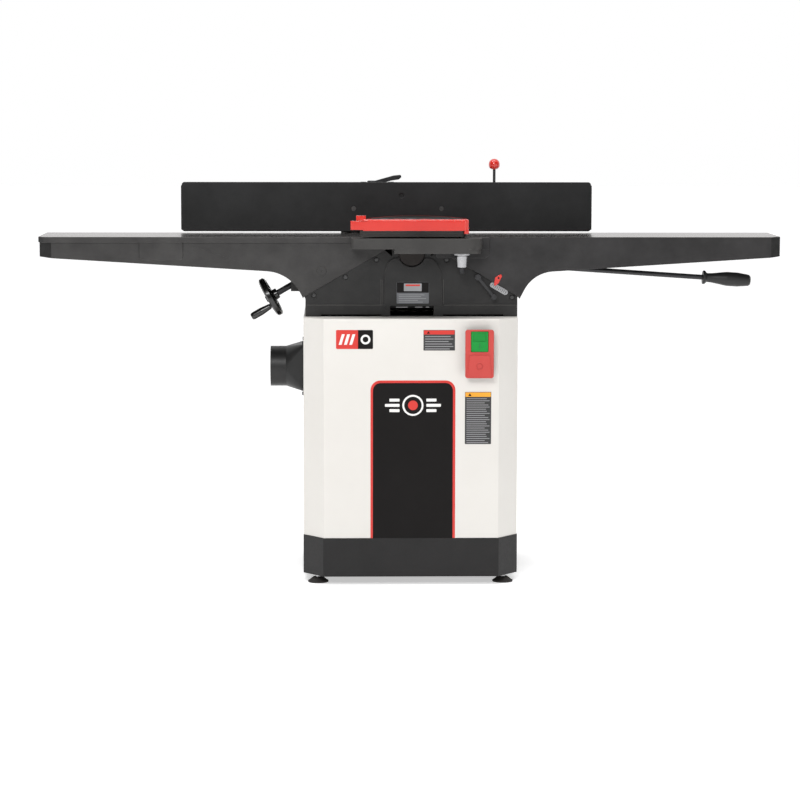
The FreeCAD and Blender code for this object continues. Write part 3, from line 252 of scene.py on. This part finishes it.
# a brighter casting colour, a painted highlight along the bed's ledges and ridges
materials["bead_painted_highlight"] = finish_of("bead_painted_highlight", dict(LOOKS["casting"], dark=(0.05, 0.047, 0.044),
                                           light=(0.075, 0.071, 0.067)))
materials["gloss_black"] = finish_of("gloss_black", dict(LOOKS["black_plastic"], dark=(0.004, 0.0037, 0.0036),
                                                         light=(0.008, 0.0075, 0.0073), rough=(0.16, 0.26),
                                                         coat=0.6, relief=0.04))
materials["screw_head"] = finish_of("screw_head", dict(LOOKS["dark_steel"], dark=(0.05, 0.05, 0.05),
                                                       light=(0.09, 0.09, 0.09), rough=(0.3, 0.42)))
decal_looks = {
    "print_black": dict(dark=(0.0058, 0.0048, 0.0047), light=(0.0075, 0.0063, 0.0062),
                        rough=(0.42, 0.52), relief=0.03, specular=0.14),
    "print_red": dict(dark=(0.60, 0.026, 0.018), light=(0.66, 0.033, 0.023), rough=(0.3, 0.4),
                      relief=0.03),
    "print_white": dict(dark=(0.80, 0.79, 0.77), light=(0.86, 0.85, 0.83), rough=(0.35, 0.45),
                        relief=0.03),
    "print_amber": dict(dark=(0.85, 0.36, 0.02), light=(0.92, 0.42, 0.03), rough=(0.3, 0.4),
                        relief=0.03),
    "print_charcoal": dict(dark=(0.028, 0.028, 0.029), light=(0.035, 0.035, 0.036), rough=(0.4, 0.5),
                           relief=0.03),
    "print_grey": dict(dark=(0.26, 0.26, 0.27), light=(0.32, 0.32, 0.33), rough=(0.35, 0.45),
                       relief=0.03),
    "mark_green": dict(dark=(0.006, 0.13, 0.035), light=(0.008, 0.16, 0.045), rough=(0.4, 0.5),
                       relief=0.03),
    "mark_red": dict(dark=(0.38, 0.03, 0.026), light=(0.42, 0.036, 0.03), rough=(0.4, 0.5),
                     relief=0.03),
    "shadow": dict(dark=(0.004, 0.004, 0.004), light=(0.006, 0.006, 0.006), rough=(0.7, 0.8),
                   relief=0.05, specular=0.1),
}
materials.update({name: finish_of(name, look) for name, look in decal_looks.items()})


# ---------------------------------------------------------------- meshes

def shown(name, mesh, material, body):
    """Put a smooth-shaded mesh into the scene, riding on its body."""
    thing = bpy.data.objects.new(name, mesh)
    bpy.context.scene.collection.objects.link(thing)
    mesh.materials.clear()
    mesh.materials.append(materials[material])
    mesh.polygons.foreach_set("use_smooth", [True] * len(mesh.polygons))
    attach(thing, body)
    return thing


def soften(work, width, steps=2):
    """Bevel the sharp edges of a bmesh."""
    sharp = [edge for edge in work.edges if edge.is_manifold and edge.calc_face_angle() > SHARP]
    if sharp:
        bmesh.ops.bevel(work, geom=sharp, offset=width, offset_type="OFFSET", segments=steps, profile=0.6,
                        affect="EDGES", clamp_overlap=False)


def weigh_normals(thing):
    """Keep large faces flat beside their eased edges."""
    modifier = thing.modifiers.new("normals", "WEIGHTED_NORMAL")
    modifier.keep_sharp = False
    modifier.weight = 60


def refine(node, material, width):
    """Stand in for a CAD node with the same shape, its sharp edges eased by a small bevel."""
    source = frame["nodes"][node].data
    work = bmesh.new()
    work.from_mesh(source)
    bmesh.ops.remove_doubles(work, verts=work.verts, dist=WELD)
    soften(work, width)
    mesh = bpy.data.meshes.new("fine_" + node)
    work.to_mesh(mesh)
    work.free()
    thing = shown("fine_" + node, mesh, material, bodies[node])
    weigh_normals(thing)
    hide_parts(node)


def printed(work, name, material, body, placement):
    """Turn a bmesh into a printed piece at its place."""
    mesh = bpy.data.meshes.new(name)
    work.to_mesh(mesh)
    work.free()
    mesh.transform(placement)
    weigh_normals(shown(name, mesh, material, body))


def rounded(low_x, high_x, low_z, high_z, radii):
    """Outline of a rectangle with its own rounding at each corner, from the lower left one."""
    if not isinstance(radii, (list, tuple)):
        radii = [radii] * 4
    corners = [(low_x, low_z, 180), (high_x, low_z, 270), (high_x, high_z, 0), (low_x, high_z, 90)]
    points = []
    for (x, z, start), radius in zip(corners, radii):
        if not radius:
            points.append((x, z))
            continue
        centre_x = x + radius if x == low_x else x - radius
        centre_z = z + radius if z == low_z else z - radius
        for step in range(QUARTER + 1):
            angle = math.radians(start + 90 * step / QUARTER)
            points.append((centre_x + radius * math.cos(angle), centre_z + radius * math.sin(angle)))
    return points


def slab(outlines, depth, ease):
    """A bmesh of flat plates with eased edges: outlines in x and z, thick along -y from zero."""
    work = bmesh.new()
    for outline in outlines:
        corners = [work.verts.new((x, 0, z)) for x, z in outline]
        face = work.faces.new(corners)
        lifted = bmesh.ops.extrude_face_region(work, geom=[face])
        raised = [item for item in lifted["geom"] if isinstance(item, bmesh.types.BMVert)]
        bmesh.ops.translate(work, vec=(0, -depth, 0), verts=raised)
    bmesh.ops.recalc_face_normals(work, faces=work.faces)
    soften(work, ease, 1)
    return work


def decal(name, outlines, material, body, origin, depth=PRINT, tilt=0.0):
    """Thin printed pieces on a face that looks towards the operator: outlines in mm from an origin on it."""
    sized = [[(x * MM, z * MM) for x, z in outline] for outline in outlines]
    work = slab(sized, depth, depth * PRINT_EASE)
    turned = Matrix.Rotation(math.radians(tilt), 4, "Y")
    printed(work, name, material, body, Matrix.Translation(origin) @ turned)


def circle(x, z, radius):
    """Outline of a disc."""
    angles = [2 * math.pi * step / ROUND for step in range(ROUND)]
    return [(x + radius * math.cos(angle), z + radius * math.sin(angle)) for angle in angles]


def hoop(name, x, z, outer, inner, material, body, origin, depth=PRINT):
    """A flat ring on a face that looks towards the operator, its sizes in mm."""
    work = bmesh.new()
    loops = [[work.verts.new((px * MM, y, pz * MM)) for px, pz in circle(x, z, radius)]
             for radius, y in ((outer, 0), (outer, -depth), (inner, -depth), (inner, 0))]
    for first, second in zip(loops, loops[1:] + loops[:1]):
        for k in range(ROUND):
            after = (k + 1) % ROUND
            work.faces.new((first[k], first[after], second[after], second[k]))
    bmesh.ops.recalc_face_normals(work, faces=work.faces)
    printed(work, name, material, body, Matrix.Translation(origin))


# ---------------------------------------------------------------- the CAD nodes, finished

# nodes whose look differs from their record slot's
OWN_FINISH = {"infeed_table": "shaded_table", "outfeed_table": "table", "rabbet_arm": "arm",
              "fence_plate": "fence", "fence_face_screws": "screw_head", "gib_screws": "screw_head",
              "handwheel": "gloss_black", "crank_handle": "gloss_black"}
# how far each node's sharp edges are eased, in mm
EASE = {"infeed_table": 1.0, "outfeed_table": 1.0, "bed": 0.5, "rabbet_arm": 1.2, "fence_plate": 1.0,
        "cabinet": 0.9, "cabinet_base": 0.9, "guard_shell": 0.7, "fence_carriage": 1.2, "fence_support": 1.2,
        "belt_guard": 0.8, "motor_body": 0.6, "handwheel": 0.6, "crank_handle": 0.6, "stop_paddle": 0.5,
        "dust_port": 0.5, "motor_plate": 0.5, "motor_rails": 0.5, "way_gibs": 0.1, "depth_scale": 0.15,
        "nameplate": 0.15, "cutterhead_bearings": 0.2, "drive_belt": 0.4, "fence_face_screws": 0.15}
USUAL_EASE = 0.3
for node in sorted(frame["nodes"]):
    refine(node, OWN_FINISH.get(node, slots[node]), EASE.get(node, USUAL_EASE) * MM)

# ---------------------------------------------------------------- printed graphics on the cabinet

cabinet_lo, cabinet_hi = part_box("cabinet")
middle = (cabinet_lo.x + cabinet_hi.x) / 2
split = Vector((middle, cabinet_lo.y, cabinet_lo.z))
decal("panel_edge", [rounded(-100.5, 108.8, 0, 392.5, [0, 0, 24, 24])], "print_red", "stand", split)
FIELD = 0.5 * MM
decal("panel_field", [rounded(-94.6, 102.7, 0, 386.4, [0, 0, 19, 19])], "print_black", "stand", split, FIELD)
crest = split + Vector((4 * MM, -FIELD, 331 * MM))
hoop("crest_ring", 0, 0, 26, 21.5, "print_white", "stand", crest)
decal("crest_disc", [circle(0, 0, 12)], "print_red", "stand", crest)
bars = []
for side in (-1, 1):
    for level, reach in ((13, 58), (0, 69), (-13, 58)):
        low, high = sorted((side * 33, side * reach))
        bars.append(rounded(low, high, level - 3.6, level + 3.6, 1.5))
decal("crest_bars", bars, "print_white", "stand", crest)

badge = Vector((middle - 139.8 * MM, cabinet_lo.y, cabinet_hi.z - 50.7 * MM))
decal("badge_red", [rounded(-45.5, 8.5, -23.4, 23.4, [3, 0, 0, 3])], "print_red", "stand", badge)
decal("badge_black", [rounded(8.5, 45.4, -23.4, 23.4, [0, 3, 3, 0])], "print_black", "stand", badge)
above_badge = badge + Vector((0, -PRINT, 0))
decal("badge_stripes", [[(x, -13), (x + 7, -13), (x + 15, 13), (x + 8, 13)] for x in (-39, -26, -13)],
      "print_white", "stand", above_badge)
hoop("badge_ring", 27, 0, 12, 7, "print_white", "stand", above_badge)


def notice(name, low_x, high_x, low_z, high_z, header, header_colour, rows):
    """A plain printed notice: a coloured header and grey lines that hold no words."""
    origin = Vector((middle, cabinet_lo.y, cabinet_lo.z))
    decal(name + "_field", [rounded(low_x, high_x, low_z, high_z, 1.5)], "print_charcoal", "stand", origin)
    raised = origin + Vector((0, -PRINT, 0))
    decal(name + "_header", [rounded(low_x + 1, high_x - 1, high_z - header, high_z - 1, 1)], header_colour,
          "stand", raised, THICK_INK)
    pitch = (high_z - header - low_z - 3) / rows
    lines = []
    for row in range(rows):
        level = high_z - header - 1.5 - pitch * (row + 0.6)
        cut = (7, 0, 12, 3, 0, 9)[row % 6]
        lines.append(rounded(low_x + 4, high_x - 4 - cut, level - pitch * 0.16, level + pitch * 0.16, 0))
    decal(name + "_lines", lines, "print_grey", "stand", raised, INK)
    decal(name + "_sign", [[(low_x + 8, high_z - header + 2), (low_x + 16, high_z - header + 2),
                            (low_x + 12, high_z - 3)]], "print_black", "stand",
          raised + Vector((0, -THICK_INK, 0)), THIN_INK)


notice("notice_small", 29.6, 107.2, 466.5, 517.2, 11, "print_red", 6)
notice("notice_tall", 132.3, 197.1, 234.5, 363.9, 12, "print_amber", 22)

# ---------------------------------------------------------------- details on the bed

plate_lo, plate_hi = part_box("nameplate")
plate = Vector(((plate_lo.x + plate_hi.x) / 2, plate_lo.y, plate_lo.z))
decal("plate_head", [rounded(-39.5, 39.5, 27, 53, 1)], "print_black", "stand", plate, INK)
plate_top = plate + Vector((0, -INK, 0))
decal("plate_field", [rounded(-22, 22, 31, 50, 1)], "print_grey", "stand", plate_top, INK)
decal("plate_stripe", [rounded(-18, 18, 43.5, 47.5, 0.5)], "print_red", "stand",
      plate_top + Vector((0, -INK, 0)), THIN_INK)
decal("plate_lines", [rounded(-35, 35 - cut, level, level + 1.4, 0)
                      for level, cut in ((21, 6), (16.5, 14), (12, 2), (7.5, 22), (3, 10))],
      "print_grey", "stand", plate, THIN_INK)

scale_lo, scale_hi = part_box("depth_scale")
scale = Vector(((scale_lo.x + scale_hi.x) / 2, scale_lo.y, (scale_lo.z + scale_hi.z) / 2))
ticks = [rounded(-19 + 4.75 * k - 0.5, -19 + 4.75 * k + 0.5, -2.5 if k % 2 else -4, 4, 0) for k in range(9)]
decal("scale_ticks", ticks, "print_black", "stand", scale, THIN_INK, tilt=30)

# painted shadow: a dark sheet in the gaps under the bed's side flanges; and the ledges and ridges that the
# casting carries, coloured brighter as a painted highlight
bed_foot = Vector((0, plate_lo.y + 12.2 * MM, cabinet_hi.z))
decal("bed_slot_painted_shadow", [rounded(-222.5, -72.5, 0, 6.2, 0), rounded(80.5, 230.5, 0, 6.2, 0)], "shadow", "stand",
      bed_foot)
ledge = Vector((0, plate_lo.y + 3 * MM, cabinet_hi.z))
decal("bed_ledges", [rounded(-256, -70, 28, 29.4, 0.4), rounded(82, 260, 28, 29.4, 0.4)], "bead_painted_highlight", "stand",
      ledge, 0.6 * MM)
bead_foot = Vector((0, plate_lo.y + 5 * MM, cabinet_hi.z))
decal("bed_beads", [rounded(-74.4, -73, 30, 92, 0.4), rounded(-70, -69, 30, 92, 0.4),
                    rounded(80.6, 82, 30, 92, 0.4)], "bead_painted_highlight", "stand", bead_foot, 0.8 * MM)

# painted shade: a dark sheet over the bed's middle opening, with three grey slots painted as light seen through
# it
opening_face = Vector((middle, plate_lo.y + 4 * MM, cabinet_hi.z))
OPENING_SHADE_THICKNESS = 1 * MM
decal("opening_painted_shade", [rounded(-50, 56, 21.5, 25.5, 0)], "shadow", "stand", opening_face, OPENING_SHADE_THICKNESS)
decal("opening_painted_light", [rounded(-36, -7, 22.6, 24.4, 0.5), rounded(11, 29, 22.6, 24.4, 0.5),
                    rounded(37, 46, 22.6, 24.4, 0.5)], "print_grey", "stand",
      opening_face + Vector((0, -OPENING_SHADE_THICKNESS, 0)))

# ---------------------------------------------------------------- the guard's dark top label

shell_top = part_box("guard_shell")[1].z
post_lo, post_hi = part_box("guard_post")
pivot_x, pivot_y = (post_lo.x + post_hi.x) / 2, (post_lo.y + post_hi.y) / 2
LABEL_PLAN = [(-222, -18), (4, -18), (2, 26), (-36, 116), (-96, 180), (-132, 180), (-170, 134), (-222, 26)]


def lid(name, outline, material, height, depth=THICK_INK):
    """A thin printed piece on the guard's top, its outline in plan from the pivot's axis."""
    work = slab([[(x * MM, y * MM) for x, y in outline]], depth, depth * PRINT_EASE)
    laid_flat = Matrix.Rotation(math.radians(-90), 4, "X")
    printed(work, name, material, "guard", Matrix.Translation((pivot_x, pivot_y, height)) @ laid_flat)


# the shell's top lies this far under the top of its raised stop
STOP_RISE = 9 * MM
plate_height = shell_top - STOP_RISE
lid("guard_label", LABEL_PLAN, "print_black", plate_height)
for index in range(4):
    start = -206 + 34 * index
    lid("guard_stripe_%d" % index, [(start, -9), (start + 16, -9), (start + 26, 1), (start + 10, 1)],
        "print_red" if index % 2 else "print_grey", plate_height + THICK_INK, THIN_INK)

# ---------------------------------------------------------------- the switch's marks

start_lo, start_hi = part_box("start_button")
start_face = Vector(((start_lo.x + start_hi.x) / 2, start_lo.y, (start_lo.z + start_hi.z) / 2))
decal("start_mark", [rounded(-1.2, 1.2, -16, -4, 0.6)], "mark_green", "start_button", start_face, INK)
paddle_lo, paddle_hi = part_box("stop_paddle")
stop_face = Vector(((paddle_lo.x + paddle_hi.x) / 2, paddle_lo.y, paddle_lo.z + 30 * MM))
hoop("stop_mark", 0, 0, 6.6, 5.6, "mark_red", "stop_paddle", stop_face, INK)

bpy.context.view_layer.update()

# ---------------------------------------------------------------- floor, light and camera

floor_mesh = bpy.data.meshes.new("floor")
FLOOR_REACH = 30
floor_mesh.from_pydata([(x * FLOOR_REACH, y * FLOOR_REACH, 0) for x, y in ((-1, -1), (1, -1), (1, 1), (-1, 1))],
                       [], [(0, 1, 2, 3)])
floor_paint = finish_of("floor", dict(dark=(0.88, 0.88, 0.88), light=(0.91, 0.91, 0.91), rough=(0.6, 0.7),
                                      relief=0.02, specular=0.2))
for shader in [node for node in floor_paint.node_tree.nodes if node.type == "BSDF_PRINCIPLED"]:
    shader.inputs["Emission Color"].default_value = (1, 1, 1, 1)
    shader.inputs["Emission Strength"].default_value = 0.5
floor_mesh.materials.append(floor_paint)
floor = bpy.data.objects.new("floor", floor_mesh)
bpy.context.scene.collection.objects.link(floor)

world = bpy.data.worlds.new("studio")
world.use_nodes = True
studio = Graph(world.node_tree)
direction = studio.add("ShaderNodeTexCoord")
depth_axis = studio.add("ShaderNodeSeparateXYZ")
studio.join(direction.outputs["Generated"], depth_axis.inputs["Vector"])
fade = studio.add("ShaderNodeMapRange", {"From Min": -0.25, "From Max": 0.2, "To Min": 0.12, "To Max": 1.0})
studio.join(depth_axis.outputs["Y"], fade.inputs["Value"])
sky = world.node_tree.nodes["Background"]
sky.inputs["Color"].default_value = (1, 1, 1, 1)
studio.join(fade.outputs["Result"], sky.inputs["Strength"])
bpy.context.scene.world = world


def softbox(name, place, aim, width, height, power):
    """A rectangular studio lamp, its sizes in metres and its power in watts."""
    lamp = bpy.data.lights.new(name, "AREA")
    lamp.shape = "RECTANGLE"
    lamp.size, lamp.size_y = width, height
    lamp.energy = power
    thing = bpy.data.objects.new(name, lamp)
    thing.location = place
    thing.rotation_euler = (Vector(aim) - Vector(place)).to_track_quat("-Z", "Y").to_euler()
    bpy.context.scene.collection.objects.link(thing)


softbox("key", (-0.8, -3.8, 2.6), (0, -0.2, 0.6), 1.8, 1.2, 78)
softbox("fill", (2.4, -3.4, 1.5), (0, 0, 0.5), 1.2, 1.6, 8)
softbox("overhead", (0, -0.7, 3.2), (0, -0.15, 0.8), 3.0, 0.5, 46)

# focal length and sensor width in mm, turns in radians, place in mm
LENS, SENSOR = 122.07, 36
YAW, PITCH, ROLL = 0.0241, 0.1112, -0.0016
CAMERA_PLACE = (-187.85, -6931.6, 1202.1)
camera_data = bpy.data.cameras.new("camera")
camera_data.lens = LENS
camera_data.sensor_width = SENSOR
camera_data.clip_end = 100
camera = bpy.data.objects.new("camera", camera_data)
turn = Matrix(((math.cos(YAW), -math.sin(YAW), 0), (math.sin(YAW), math.cos(YAW), 0), (0, 0, 1)))
dip = Matrix(((1, 0, 0), (0, math.cos(PITCH), -math.sin(PITCH)), (0, math.sin(PITCH), math.cos(PITCH))))
lean = Matrix(((math.cos(ROLL), 0, -math.sin(ROLL)), (0, 1, 0), (math.sin(ROLL), 0, math.cos(ROLL))))
rows = lean @ dip @ turn
pose = Matrix((rows[0], rows[2], -rows[1])).transposed().to_4x4()
pose.translation = Vector(CAMERA_PLACE) * MM
camera.matrix_world = pose
bpy.context.scene.collection.objects.link(camera)
bpy.context.scene.camera = camera
bpy.context.scene.view_settings.view_transform = "Standard"
